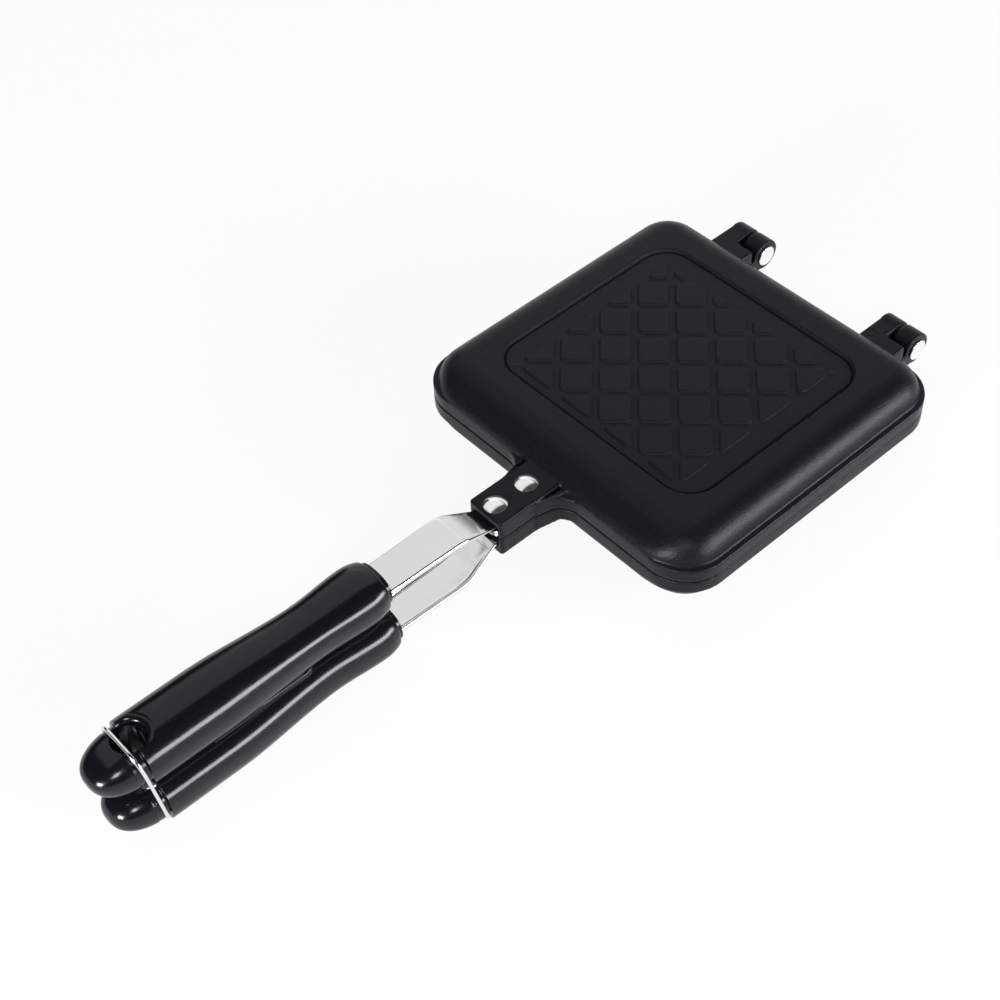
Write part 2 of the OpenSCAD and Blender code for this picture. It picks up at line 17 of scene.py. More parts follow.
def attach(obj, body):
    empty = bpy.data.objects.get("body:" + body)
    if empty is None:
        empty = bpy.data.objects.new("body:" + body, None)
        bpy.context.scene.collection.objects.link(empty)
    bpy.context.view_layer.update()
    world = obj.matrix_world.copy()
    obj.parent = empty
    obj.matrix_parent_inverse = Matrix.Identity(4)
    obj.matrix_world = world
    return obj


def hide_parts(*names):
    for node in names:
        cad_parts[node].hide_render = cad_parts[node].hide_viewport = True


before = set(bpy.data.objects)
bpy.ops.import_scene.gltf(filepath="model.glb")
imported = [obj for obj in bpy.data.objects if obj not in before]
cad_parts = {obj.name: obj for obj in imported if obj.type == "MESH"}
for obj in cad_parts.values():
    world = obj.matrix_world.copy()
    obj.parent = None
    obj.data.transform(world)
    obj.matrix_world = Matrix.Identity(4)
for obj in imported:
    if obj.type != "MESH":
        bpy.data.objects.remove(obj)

bl_info = {
    "name": "Pie Iron",
    "version": (1, 0, 0),
    "blender": (4, 5, 0),
    "location": "3D View > Sidebar > Pie Iron",
    "description": "Builds the detailed pieces of a pie iron and its studio",
    "category": "Object",
}

MM = 0.001
PARTING_Z = 17.8                      # height of the plane between the two rims
UPPER = Matrix.Translation((0, 0, PARTING_Z * MM))
LOWER = UPPER @ Matrix.Rotation(math.pi, 4, "X")
LOWER_GRIP_SHIFT = 2.5                # the lower grip sits this much nearer the pans
GRIP_FRONT_X = -160.7
GRIP_LENGTH = 129.5
SECTION_Z = 13.1                      # height of the steel inside the grips
HOLE_X = -270.7                       # middle of the upper grip's hanging hole
SCREW_X = -224.7
RIVET_XS = (-101.3, -84.8)
RIVET_SEAT_Z = 9.12
HINGE_X = 92.4
HINGE_YS = (43.0, -43.0)


# ---------------------------------------------------------------- settings

class PanSettings(bpy.types.PropertyGroup):
    """Sizes of the cast shells."""
    voxel: bpy.props.FloatProperty(
        name="Voxel", description="Cell size that the shell is rebuilt with",
        default=0.55 * MM, unit="LENGTH")
    panel_depth: bpy.props.FloatProperty(
        name="Panel depth", description="Depth of the recessed panel",
        default=1.2 * MM, unit="LENGTH")
    panel_edge: bpy.props.FloatProperty(
        name="Panel edge", description="Width of the soft edge of the panel",
        default=0.9 * MM, unit="LENGTH")
    pad_height: bpy.props.FloatProperty(
        name="Pad height", description="Height of the pads of the lattice",
        default=0.75 * MM, unit="LENGTH")
    pad_edge: bpy.props.FloatProperty(
        name="Pad edge", description="Width of the soft edge of a pad",
        default=0.9 * MM, unit="LENGTH")
    groove_width: bpy.props.FloatProperty(
        name="Groove width", description="Width of the grooves between the pads",
        default=2.6 * MM, unit="LENGTH")


class HandleSettings(bpy.types.PropertyGroup):
    """Sizes of the shanks, the grips and the clip."""
    sheet: bpy.props.FloatProperty(
        name="Sheet", description="Thickness of the steel of the shanks",
        default=1.2 * MM, unit="LENGTH")
    lip: bpy.props.FloatProperty(
        name="Lip", description="Depth of the turned edge under the web",
        default=1.0 * MM, unit="LENGTH")
    step_setback: bpy.props.FloatProperty(
        name="Step", description="How far the clip's step lies behind the hanging hole's middle",
        default=0.3 * MM, unit="LENGTH")
    tail_inset: bpy.props.FloatProperty(
        name="Tail inset", description="How far the tail is set in behind the step",
        default=1.7 * MM, unit="LENGTH")
    wire: bpy.props.FloatProperty(
        name="Wire", description="Diameter of the clip's wire", default=1.5 * MM, unit="LENGTH")


class FinishSettings(bpy.types.PropertyGroup):
    """Colours of the finishes."""
    coat: bpy.props.FloatVectorProperty(
        name="Coat", description="Non-stick coat of the pans", subtype="COLOR",
        default=(0.0050, 0.0053, 0.0074), size=3)
    grip: bpy.props.FloatVectorProperty(
        name="Grip", description="Thermoset of the grips", subtype="COLOR",
        default=(0.0030, 0.0033, 0.0050), size=3)
    steel: bpy.props.FloatVectorProperty(
        name="Steel", description="Polished steel of the shanks", subtype="COLOR",
        default=(0.80, 0.80, 0.81), size=3)
    aluminium: bpy.props.FloatVectorProperty(
        name="Aluminium", description="Rivets and hinge pins", subtype="COLOR",
        default=(0.94, 0.94, 0.95), size=3)


class StudioSettings(bpy.types.PropertyGroup):
    """Light and floor."""
    floor_white: bpy.props.FloatProperty(
        name="Floor white", description="Share of plain white that the camera sees on the floor",
        default=0.90, min=0.0, max=1.0)
    world: bpy.props.FloatProperty(
        name="World", description="Strength of the even light", default=0.05)
    overhead: bpy.props.FloatProperty(
        name="Overhead", description="Power of the overhead light in watts", default=16.4)
    strip: bpy.props.FloatProperty(
        name="Strip", description="Power of the low strip light in watts", default=31.0)
    backdrop: bpy.props.FloatProperty(
        name="Backdrop", description="Power of the white card behind, in watts", default=9.5)
    front: bpy.props.FloatProperty(
        name="Front", description="Power of the small light by the camera, in watts", default=7.0)
    corner: bpy.props.FloatProperty(
        name="Corner", description="Power of the low light at the corner, in watts", default=22.0)


SETTINGS = (PanSettings, HandleSettings, FinishSettings, StudioSettings)


# ---------------------------------------------------------------- small tools

def link(name, mesh):
    """A new object for the mesh, in the scene."""
    obj = bpy.data.objects.new(name, mesh)
    bpy.context.scene.collection.objects.link(obj)
    return obj


def mesh_from(name, points_mm, faces):
    """A smooth-shaded mesh from points in millimetres."""
    mesh = bpy.data.meshes.new(name)
    mesh.from_pydata([tuple(float(c) * MM for c in p) for p in points_mm], [], faces)
    mesh.update()
    smooth(mesh)
    return mesh


def smooth(mesh, sharp_deg=None):
    """Shades the mesh smooth, with edges sharper than the angle kept as edges."""
    mesh.polygons.foreach_set("use_smooth", [True] * len(mesh.polygons))
    if sharp_deg is None:
        return
    work = bmesh.new()
    work.from_mesh(mesh)
    limit = math.radians(sharp_deg)
    for edge in work.edges:
        if len(edge.link_faces) == 2:
            edge.smooth = edge.calc_face_angle(0.0) < limit
    work.to_mesh(mesh)
    work.free()


def evaluated(obj, name):
    """The object's mesh with its modifiers applied; the object is removed."""
    bpy.context.view_layer.update()
    graph = bpy.context.evaluated_depsgraph_get()
    mesh = bpy.data.meshes.new_from_object(obj.evaluated_get(graph))
    mesh.name = name
    old = obj.data
    bpy.data.objects.remove(obj)
    if old.users == 0:
        bpy.data.meshes.remove(old)
    return mesh


def ring_faces(rings, sides, closed_start=True, closed_end=True):
    """Faces of a skin through rings of equal point counts."""
    faces = []
    for i in range(rings - 1):
        for k in range(sides):
            n = (k + 1) % sides
            faces.append((i * sides + k, i * sides + n, (i + 1) * sides + n, (i + 1) * sides + k))
    if closed_start:
        faces.append(tuple(range(sides))[::-1])
    if closed_end:
        faces.append(tuple((rings - 1) * sides + k for k in range(sides)))
    return faces


def skin(name, rings):
    """A closed skin through rings of equal point counts."""
    points = [p for ring in rings for p in ring]
    mesh = mesh_from(name, points, ring_faces(len(rings), len(rings[0])))
    outward(mesh)
    return mesh


def lathe(name, profile, sides=96):
    """A turned solid about Z; the profile's points are (radius, height) from axis to axis."""
    inner = profile[1:-1]
    points = [(r * math.cos(2 * math.pi * k / sides), r * math.sin(2 * math.pi * k / sides), z)
              for r, z in inner for k in range(sides)]
    faces = ring_faces(len(inner), sides, False, False)
    start = len(points)
    points += [(0, 0, profile[0][1]), (0, 0, profile[-1][1])]
    last = (len(inner) - 1) * sides
    for k in range(sides):
        n = (k + 1) % sides
        faces.append((start, n, k))
        faces.append((start + 1, last + k, last + n))
    mesh = mesh_from(name, points, faces)
    outward(mesh)
    return mesh


def outward(mesh):
    """Turns all faces outwards."""
    work = bmesh.new()
    work.from_mesh(mesh)
    bmesh.ops.recalc_face_normals(work, faces=work.faces)
    work.to_mesh(mesh)
    work.free()


def arc(cx, cz, r, start_deg, end_deg, steps):
    """Points of an arc, for a profile."""
    return [(cx + r * math.cos(math.radians(a)), cz + r * math.sin(math.radians(a)))
            for a in np.linspace(start_deg, end_deg, steps)]


def place(obj, matrix, node, body, slot):
    """Gives a piece its place and its slot's finish, and hands it to the frame."""
    obj.matrix_world = matrix
    obj.data.materials.clear()
    obj.data.materials.append(finishes()[slot])
    bpy.context.view_layer.update()
    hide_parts(node)
    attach(obj, body)


def smooth_step(t):
    t = np.clip(t, 0.0, 1.0)
    return t * t * (3.0 - 2.0 * t)


# ---------------------------------------------------------------- materials

FINISH = "_finish"                    # ending of a finish's name, after its slot
EDGE_NAME = "pressed_edge"            # how steep the pressed panel is, from 0 to 1
EDGE_ROUGHNESS = 0.4                  # what the steepest edges add to the coat's roughness


def new_material(name):
    material = bpy.data.materials.new(name + FINISH)
    material.use_nodes = True
    tree = material.node_tree
    shader = next(n for n in tree.nodes if n.type == "BSDF_PRINCIPLED")
    return material, tree, shader


def add_node(tree, kind, **inputs):
    node = tree.nodes.new(kind)
    for key, value in inputs.items():
        node.inputs[key.replace("_", " ")].default_value = value
    return node


def object_coords(tree, scale=(1, 1, 1)):
    """Object coordinates, stretched by the scale."""
    coords = tree.nodes.new("ShaderNodeTexCoord")
    mapping = tree.nodes.new("ShaderNodeMapping")
    mapping.inputs["Scale"].default_value = scale
    tree.links.new(coords.outputs["Object"], mapping.inputs["Vector"])
    return mapping.outputs["Vector"]


def noise(tree, vector, scale, detail=3.0, rough=0.55):
    node = add_node(tree, "ShaderNodeTexNoise", Scale=scale, Detail=detail, Roughness=rough)
    tree.links.new(vector, node.inputs["Vector"])
    return node.outputs["Fac"]


def spread(tree, value, low, high, out_low, out_high):
    """Maps a value from one range to another, clamped."""
    node = tree.nodes.new("ShaderNodeMapRange")
    node.inputs["From Min"].default_value = low
    node.inputs["From Max"].default_value = high
    node.inputs["To Min"].default_value = out_low
    node.inputs["To Max"].default_value = out_high
    tree.links.new(value, node.inputs["Value"])
    return node.outputs["Result"]


def tint(tree, value, colour, dark, light):
    """The colour times a factor between dark and light, by the value."""
    ramp = tree.nodes.new("ShaderNodeValToRGB")
    ramp.color_ramp.elements[0].color = (*(c * dark for c in colour), 1)
    ramp.color_ramp.elements[1].color = (*(c * light for c in colour), 1)
    tree.links.new(value, ramp.inputs["Fac"])
    return ramp.outputs["Color"]


def bump(tree, value, strength, distance, before=None):
    node = add_node(tree, "ShaderNodeBump", Strength=strength, Distance=distance)
    tree.links.new(value, node.inputs["Height"])
    if before is not None:
        tree.links.new(before, node.inputs["Normal"])
    return node.outputs["Normal"]


def mix_shaders(tree, share, first, second, output_type):
    """Sends a mix of two shaders to the output."""
    mix = tree.nodes.new("ShaderNodeMixShader")
    output = next(n for n in tree.nodes if n.type == output_type)
    tree.links.new(share, mix.inputs["Fac"])
    tree.links.new(first, mix.inputs[1])
    tree.links.new(second, mix.inputs[2])
    tree.links.new(mix.outputs["Shader"], output.inputs["Surface"])


def coat_material(colour):
    """Black non-stick coat: satin, with a fine grain, and duller along the pressed edges."""
    material, tree, shader = new_material("coated_aluminium")
    vector = object_coords(tree)
    cloud = noise(tree, vector, 90.0, 4.0)
    grain = noise(tree, vector, 1700.0, 2.0, 0.6)
    fleck = noise(tree, vector, 1500.0, 1.0, 0.5)
    tree.links.new(tint(tree, spread(tree, fleck, 0.35, 0.75, 0.0, 1.0), colour, 0.8, 1.35),
                   shader.inputs["Base Color"])
    edge = tree.nodes.new("ShaderNodeAttribute")
    edge.attribute_name = EDGE_NAME
    rough = add_node(tree, "ShaderNodeMath")
    rough.operation = "MULTIPLY_ADD"
    tree.links.new(edge.outputs["Fac"], rough.inputs[0])
    rough.inputs[1].default_value = EDGE_ROUGHNESS
    tree.links.new(spread(tree, cloud, 0.3, 0.7, 0.29, 0.35), rough.inputs[2])
    tree.links.new(rough.outputs["Value"], shader.inputs["Roughness"])
    low = bump(tree, cloud, 0.05, 0.0006)
    tree.links.new(bump(tree, grain, 0.45, 0.0003, low), shader.inputs["Normal"])
    shader.inputs["Specular IOR Level"].default_value = 0.14
    shader.inputs["Specular Tint"].default_value = (0.90, 0.93, 1.0, 1)
    return material


def grip_material(colour):
    """Moulded thermoset: deep gloss with a hint of orange peel and fine wear."""
    material, tree, shader = new_material("grip_plastic")
    vector = object_coords(tree)
    peel = noise(tree, vector, 260.0, 2.0)
    wear = noise(tree, object_coords(tree, (0.35, 1, 1)), 900.0, 4.0, 0.6)
    tree.links.new(tint(tree, wear, colour, 0.9, 1.2), shader.inputs["Base Color"])
    tree.links.new(spread(tree, wear, 0.35, 0.75, 0.15, 0.23), shader.inputs["Roughness"])
    tree.links.new(bump(tree, peel, 0.04, 0.0004), shader.inputs["Normal"])
    shader.inputs["Specular IOR Level"].default_value = 0.36
    shader.inputs["Specular Tint"].default_value = (0.92, 0.95, 1.0, 1)
    return material


def metal_material(name, colour, stretch, scale, rough, depth):
    """Bare metal with fine marks that run along the stretched axis."""
    material, tree, shader = new_material(name)
    marks = noise(tree, object_coords(tree, stretch), scale, 5.0, 0.6)
    cloud = noise(tree, object_coords(tree), 120.0, 3.0)
    tree.links.new(tint(tree, cloud, colour, 0.94, 1.0), shader.inputs["Base Color"])
    tree.links.new(spread(tree, marks, 0.3, 0.7, rough[0], rough[1]), shader.inputs["Roughness"])
    tree.links.new(bump(tree, marks, 0.10, depth), shader.inputs["Normal"])
    shader.inputs["Metallic"].default_value = 1.0
    return material


def finishes():
    """The finishes by slot, made once."""
    colours = bpy.context.scene.pie_iron_finishes
    steel, aluminium = tuple(colours.steel), tuple(colours.aluminium)
    metals = {
        "shank_steel": (steel, (0.04, 1, 1), 1800.0, (0.10, 0.20), 0.00004),
        "rivet_aluminium": (aluminium, (1, 1, 1), 900.0, (0.14, 0.22), 0.00006),
        "pin_aluminium": (aluminium, (1, 1, 1), 1100.0, (0.20, 0.34), 0.00008),
        "screw_steel": ((0.62, 0.63, 0.65), (1, 1, 1), 900.0, (0.22, 0.36), 0.00005),
        "wire_steel": ((0.84, 0.84, 0.85), (1, 1, 0.1), 1500.0, (0.08, 0.18), 0.00003),
    }
    makers = {"coated_aluminium": lambda: coat_material(tuple(colours.coat)),
              "grip_plastic": lambda: grip_material(tuple(colours.grip))}
    for slot, marks in metals.items():
        makers[slot] = lambda slot=slot, marks=marks: metal_material(slot, *marks)
    found = {}
    for slot, make in makers.items():
        found[slot] = bpy.data.materials.get(slot + FINISH) or make()
    return found


# ---------------------------------------------------------------- pans

PANEL_HALF = (52.5, 57.5)
PANEL_CORNER_R = 14.0
TOP_Z = 17.8
PAD_FIELD_HALF = (45.0, 47.0)
PAD_FIELD_X = -2.5
PAD_FIELD_CORNER_R = 5.0
PAD_CORNER_R = 2.6
GROOVE_PITCH_A = 16.0
GROOVE_PITCH_B = 17.4
GROOVE_OFFSET_A = 1.5
EJECTOR_DOTS = ((-48.0, 46.5), (41.0, -47.5), (-47.6, -38.4), (20.0, 55.6))
EJECTOR_RING = (79.7, -37.2)
LEAF_TOP_Z = 7.1                      # height of the flat top of a hinge leaf
NECK_HALF_W = 9.3
RIM_HALF_W = 79.5
RIB_TOP_Z = 7.9                       # height of the ribs beside the neck
RIB_PLAN = ((-89.0, 8.6), (-73.0, 8.6), (-73.0, 13.4), (-88.6, 9.9))
SLIT_TIP_X = -88.5                    # the slits widen from here over their length
SLIT_LENGTH = 14.5
SLIT_END_X = -73.6
SLIT_W = 1.9
SLIT_DEPTH = 2.6
BORDER_LINE = (0.55, 0.5, 0.75)       # distance inside the panel's border, half width, depth
DOT = (0.22, 1.1)                     # height and squared radius of an ejector dot
RING = (2.0, 0.45, 0.22)              # radius, half width and depth of the ejector ring
LEDGE = (-76.0, 2.4)                  # outer edge and width of the ledge on the handle side
FOOT_REACH = 2.3                      # how far the dome's foot runs out over the ledge
FOOT_TOP = (15.0, 7.5)                # height where that ends, and over how much it fades
FOOT_LOW = (6.1, 0.3)                 # height where it starts, and over how much
FOOT_HALF_W = (72.0, 18.0)            # how far it reaches to each side, and its fading
FOOT_BEFORE_X = -58.0


def inside_distance(x, y, half, r):
    """How far a point lies inside a rounded rectangle; negative outside it."""
    qx = np.abs(x) - (half[0] - r)
    qy = np.abs(y) - (half[1] - r)
    corner = np.hypot(np.maximum(qx, 0.0), np.maximum(qy, 0.0))
    return r - corner - np.minimum(np.maximum(qx, qy), 0.0)


def to_groove(v, pitch, offset):
    """Distance to the middle of the nearest of a set of parallel grooves."""
    return np.abs((v - offset + pitch / 2) % pitch - pitch / 2)


def panel_drop(x, y, pan):
    """How far the panel lies below the flat top, in millimetres."""
    depth = pan.panel_depth / MM
    edge = pan.panel_edge / MM
    inside = inside_distance(x, y, PANEL_HALF, PANEL_CORNER_R)
    drop = depth * smooth_step(inside / edge + 0.3)
    line, line_half_w, line_depth = BORDER_LINE
    drop += line_depth * np.exp(-((inside - line) / line_half_w) ** 2)
    half_w = pan.groove_width / MM / 2
    field = inside_distance(x - PAD_FIELD_X, y, PAD_FIELD_HALF, PAD_FIELD_CORNER_R)
    across_a = to_groove((y - x) / math.sqrt(2), GROOVE_PITCH_A, GROOVE_OFFSET_A) - half_w
    across_b = to_groove((x + y) / math.sqrt(2), GROOVE_PITCH_B, 0.0) - half_w
    inner = PAD_CORNER_R - np.sqrt(sum(np.maximum(PAD_CORNER_R - d, 0.0) ** 2
                                       for d in (across_a, across_b, field)))
    drop -= pan.pad_height / MM * smooth_step(inner / (pan.pad_edge / MM) + 0.35)
    for dx, dy in EJECTOR_DOTS:
        drop -= DOT[0] * np.exp(-((x - dx) ** 2 + (y - dy) ** 2) / DOT[1])
    return drop


def add_panel_filler(work):
    """Fills the plain recess of the frame's pan, so that the soft panel can be pressed in."""
    outline = []
    for sx, sy, start in ((1, 1, 0), (-1, 1, 90), (-1, -1, 180), (1, -1, 270)):
        for angle in np.linspace(start, start + 90, 17):
            cx = sx * (PANEL_HALF[0] - PANEL_CORNER_R)
            cy = sy * (PANEL_HALF[1] - PANEL_CORNER_R)
            outline.append((cx + (PANEL_CORNER_R + 0.05) * math.cos(math.radians(angle)),
                            cy + (PANEL_CORNER_R + 0.05) * math.sin(math.radians(angle))))
    low = [work.verts.new((x * MM, y * MM, (TOP_Z - 2.2) * MM)) for x, y in outline]
    high = [work.verts.new((x * MM, y * MM, TOP_Z * MM)) for x, y in outline]
    work.faces.new(low[::-1])
    work.faces.new(high)
    for k in range(len(outline)):
        n = (k + 1) % len(outline)
        work.faces.new((low[k], low[n], high[n], high[k]))


def add_neck_ribs(work):
    """Adds the tapering rib on each side of the neck's foot."""
    for side in (1, -1):
        low = [work.verts.new((x * MM, side * y * MM, 0.2 * MM)) for x, y in RIB_PLAN]
        high = [work.verts.new((x * MM, side * y * MM, RIB_TOP_Z * MM)) for x, y in RIB_PLAN]
        rings = (low[::-1], high) if side > 0 else (low, high[::-1])
        work.faces.new(rings[0])
        work.faces.new(rings[1])
        for k in range(4):
            n = (k + 1) % 4
            wall = (low[k], low[n], high[n], high[k])
            work.faces.new(wall if side > 0 else wall[::-1])


def refine_panel(mesh):
    """Splits the faces of the flat top once, where the lattice needs them."""
    work = bmesh.new()
    work.from_mesh(mesh)
    edges = set()
    for face in work.faces:
        c = face.calc_center_median() / MM
        if c.z > TOP_Z - 0.3 and abs(c.x) < PANEL_HALF[0] + 1.5 and abs(c.y) < PANEL_HALF[1] + 1.5:
            edges.update(face.edges)
    bmesh.ops.subdivide_edges(work, edges=list(edges), cuts=1, use_grid_fill=True)
    work.to_mesh(mesh)
    work.free()


def press_details(mesh, pan):
    """Presses the panel, the slits and the ejector ring in, and draws out the dome's foot."""
    flat = np.empty(len(mesh.vertices) * 3)
    mesh.vertices.foreach_get("co", flat)
    p = flat.reshape(-1, 3) / MM
    x, y, z = p[:, 0], p[:, 1], p[:, 2]
    top = smooth_step((z - (TOP_Z - 1.2)) / 0.6)
    within = (np.abs(x) < PANEL_HALF[0] + 2) & (np.abs(y) < PANEL_HALF[1] + 2)
    drop = panel_drop(x, y, pan)
    step = 0.1
    slope = np.hypot(panel_drop(x + step, y, pan) - drop,
                     panel_drop(x, y + step, pan) - drop) / step
    pressed = np.where(within, top * smooth_step(slope / 0.8), 0.0)
    z = np.where(within, z - top * drop, z)
    # A tapering slit between the neck and each rib.
    rib = smooth_step((z - (RIB_TOP_Z - 0.9)) / 0.4) * smooth_step((RIB_TOP_Z + 0.7 - z) / 0.3)
    side = np.abs(y) - NECK_HALF_W
    along = np.clip((x - SLIT_TIP_X) / SLIT_LENGTH, 0.0, 1.0)
    slit = smooth_step((side - 0.05) / 0.35) * smooth_step((SLIT_W * along - side) / 0.5)
    z = z - SLIT_DEPTH * rib * slit * smooth_step((SLIT_END_X - x) / 0.8)
    # On the handle side the dome's foot runs out over the ledge.
    foot = smooth_step((FOOT_TOP[0] - z) / FOOT_TOP[1])
    foot = foot * smooth_step((z - FOOT_LOW[0]) / FOOT_LOW[1])
    foot = foot * smooth_step((FOOT_HALF_W[0] - np.abs(y)) / FOOT_HALF_W[1])
    reach = FOOT_REACH * foot * np.clip((x - LEDGE[0]) / LEDGE[1], 0.0, 1.0)
    x = np.where(x < FOOT_BEFORE_X, x - reach, x)
    p[:, 0] = x
    # A shallow ring left by the ejector on one leaf.
    r = np.hypot(x - EJECTOR_RING[0], y - EJECTOR_RING[1])
    leaf = smooth_step((z - (LEAF_TOP_Z - 0.8)) / 0.4)
    z = z - RING[2] * leaf * np.exp(-((r - RING[0]) / RING[1]) ** 2)
    p[:, 1] = np.clip(y, -RIM_HALF_W + 0.01, RIM_HALF_W - 0.01)
    p[:, 2] = z
    mesh.vertices.foreach_set("co", (p * MM).ravel())
    edge = mesh.attributes.new(EDGE_NAME, "FLOAT", "POINT")
    edge.data.foreach_set("value", pressed.astype(np.float32))
    mesh.update()


def shell_mesh(pan):
    """The cast shell in its half frame, with the soft edges of a casting."""
    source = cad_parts["upper_pan"]
    work = bmesh.new()
    work.from_mesh(source.data)
    work.transform(UPPER.inverted() @ source.matrix_world)
    bmesh.ops.remove_doubles(work, verts=work.verts, dist=0.001 * MM)
    add_panel_filler(work)
    add_neck_ribs(work)
    mesh = bpy.data.meshes.new("shell_blank")
    work.to_mesh(mesh)
    work.free()
    blank = link("shell_blank", mesh)
    remesh = blank.modifiers.new("rebuild", "REMESH")
    remesh.mode = "VOXEL"
    remesh.voxel_size = pan.voxel
    soften = blank.modifiers.new("soften", "SMOOTH")
    soften.factor = 0.5
    soften.iterations = 3
    shell = evaluated(blank, "cast_shell")
    refine_panel(shell)
    press_details(shell, pan)
    smooth(shell)
    return shell


def build_pans():
    shell = shell_mesh(bpy.context.scene.pie_iron_pans)
    place(link("upper_pan_shell", shell), UPPER, "upper_pan", "lid", "coated_aluminium")
    place(link("lower_pan_shell", shell), LOWER, "lower_pan", "base", "coated_aluminium")


# ---------------------------------------------------------------- pins and rivets

PIN_REACH = 9.6                       # from a hinge's middle to the seat of a pin's head
PIN_HEAD_R = 4.7
PIN_HEAD_H = 1.0
PIN_R = 3.0
PIN_ROUND = (0.35, 0.45)              # rounding of the head's lower and upper edge
PIN_DIMPLE = 0.22


def pin_mesh():
    """A straight pin whose ends are spread into flat heads with a shallow dimple."""
    head = [(PIN_R, PIN_REACH), (PIN_HEAD_R - 0.25, PIN_REACH)]
    low_r, top_r = PIN_ROUND
    head += arc(PIN_HEAD_R - low_r, PIN_REACH + low_r, low_r, -60, 0, 5)
    head += arc(PIN_HEAD_R - top_r, PIN_REACH + PIN_HEAD_H - top_r, top_r, 0, 90, 7)
    head += [(PIN_HEAD_R * s, PIN_REACH + PIN_HEAD_H - 0.02 - PIN_DIMPLE * (1 - s ** 2))
             for s in (0.82, 0.7, 0.55, 0.4, 0.25, 0.12)]
    top = [(0.0, PIN_REACH + PIN_HEAD_H - 0.25)]
    lower = [(r, -z) for r, z in head]
    profile = [(0.0, -top[0][1])] + lower[::-1] + head + top
    mesh = lathe("hinge_pin", profile, 96)
    smooth(mesh, 40)
    return mesh


def build_pins():
    mesh = pin_mesh()
    turn = Matrix.Rotation(math.radians(-90), 4, "X")
    for name, y in (("left_hinge_pin", HINGE_YS[0]), ("right_hinge_pin", HINGE_YS[1])):
        matrix = Matrix.Translation((HINGE_X * MM, y * MM, PARTING_Z * MM)) @ turn
        place(link(name + "_turned", mesh), matrix, name, "base", "pin_aluminium")


RIVET_HEAD_R = 4.8
RIVET_HEAD_H = 1.7
RIVET_TAIL = (3.5, 1.2)               # radius and height of the flattened tail
RIVET_R = 2.5
RIVET_HOLE_R = 2.52
TONGUE_Z = 4.4


def rivet_mesh():
    """A domed rivet with a thin upright edge and a flattened tail."""
    edge = 0.3
    dome = RIVET_HEAD_H - edge
    big_r = (dome ** 2 + RIVET_HEAD_R ** 2) / (2 * dome)
    half = math.degrees(math.asin(RIVET_HEAD_R / big_r))
    head = arc(0, RIVET_HEAD_H - big_r, big_r, 90 - half, 90, 26)
    tail_z = TONGUE_Z - 0.02 - RIVET_SEAT_Z
    profile = [(0.0, tail_z - RIVET_TAIL[1]), (RIVET_TAIL[0] - 0.3, tail_z - RIVET_TAIL[1]),
               (RIVET_TAIL[0], tail_z - RIVET_TAIL[1] + 0.3), (RIVET_TAIL[0], tail_z),
               (RIVET_R, tail_z), (RIVET_R, 0.0), (RIVET_HEAD_R - 0.1, 0.0), (RIVET_HEAD_R, 0.1)]
    profile += [(r, z) for r, z in head[:-1]] + [(0.0, RIVET_HEAD_H)]
    mesh = lathe("rivet", profile, 96)
    smooth(mesh, 35)
    return mesh


def build_rivets():
    mesh = rivet_mesh()
    for half, matrix, body in (("upper", UPPER, "lid"), ("lower", LOWER, "base")):
        for place_name, x in zip(("front", "rear"), RIVET_XS):
            node = f"{half}_{place_name}_rivet"
            seat = matrix @ Matrix.Translation((x * MM, 0, RIVET_SEAT_Z * MM))
            place(link(node + "_domed", mesh), seat, node, body, "rivet_aluminium")


# ---------------------------------------------------------------- shanks

TONGUE_START_X = -80.9
NECK_END_X = -106.9
RISE_END_X = -123.9
TONGUE_TOP_Z = 5.58
WEB_TOP = 13.7
TANG_HALF_W = 5.0
TANG_LENGTH = 90.0
SHANK_HALF_WS = (8.3, 8.9, 6.4, 6.4)  # at the grip, the rise's start, its end and the tongue
NECK_WINDOW = 2.2                     # how far the bend at the neck is rounded
RISE_WINDOW = 7.0                     # how far the bend at the web is rounded


def rounded_path(x, xs, values, window):
    """A broken line through the stations, with its corners rounded over the window."""
    offsets = np.linspace(-window, window, 21)
    weights = np.cos(offsets / window * math.pi / 2) ** 2
    return float(np.sum(np.interp(x + offsets, xs, values) * weights) / np.sum(weights))


def shank_section(x, end_x, handle):
    """One closed ring of the dished sheet at x, as (y, z) in millimetres."""
    sheet = handle.sheet / MM
    xs = (end_x, RISE_END_X, NECK_END_X - 1, TONGUE_START_X)
    half_w = rounded_path(x, xs, SHANK_HALF_WS, 3.0)
    window = NECK_WINDOW if x > NECK_END_X - 4 else RISE_WINDOW
    top = rounded_path(x, xs, (WEB_TOP, WEB_TOP, TONGUE_TOP_Z, TONGUE_TOP_Z), window)
    lip = rounded_path(x, xs, (handle.lip / MM, handle.lip / MM, 0.0, 0.0), NECK_WINDOW)
    bottom = top - sheet
    foot = bottom - lip
    r = 0.35 + 0.75 * min(1.0, lip)
    outer = []
    for angle in np.linspace(0, 90, 8):
        c, s = math.cos(math.radians(angle)), math.sin(math.radians(angle))
        outer.append((half_w - r + r * c, top - r + r * s))
    for t in (0.8, 0.6, 0.4, 0.2, 0.0):
        outer.append(((half_w - r) * t, top))
    right = [(half_w - 0.15, foot), (half_w, foot + 0.15)] + outer
    left = [(-y, z) for y, z in right[:-1]][::-1]
    reach = half_w - sheet
    bend = 2.4
    inner = []
    for t in np.linspace(-1, 1, 33):
        y = reach * t
        part = max(0.0, (abs(y) - (reach - bend)) / bend)
        inner.append((y, bottom - lip * (1 - math.sqrt(max(0.0, 1 - part ** 2)))))
    return right + left + inner


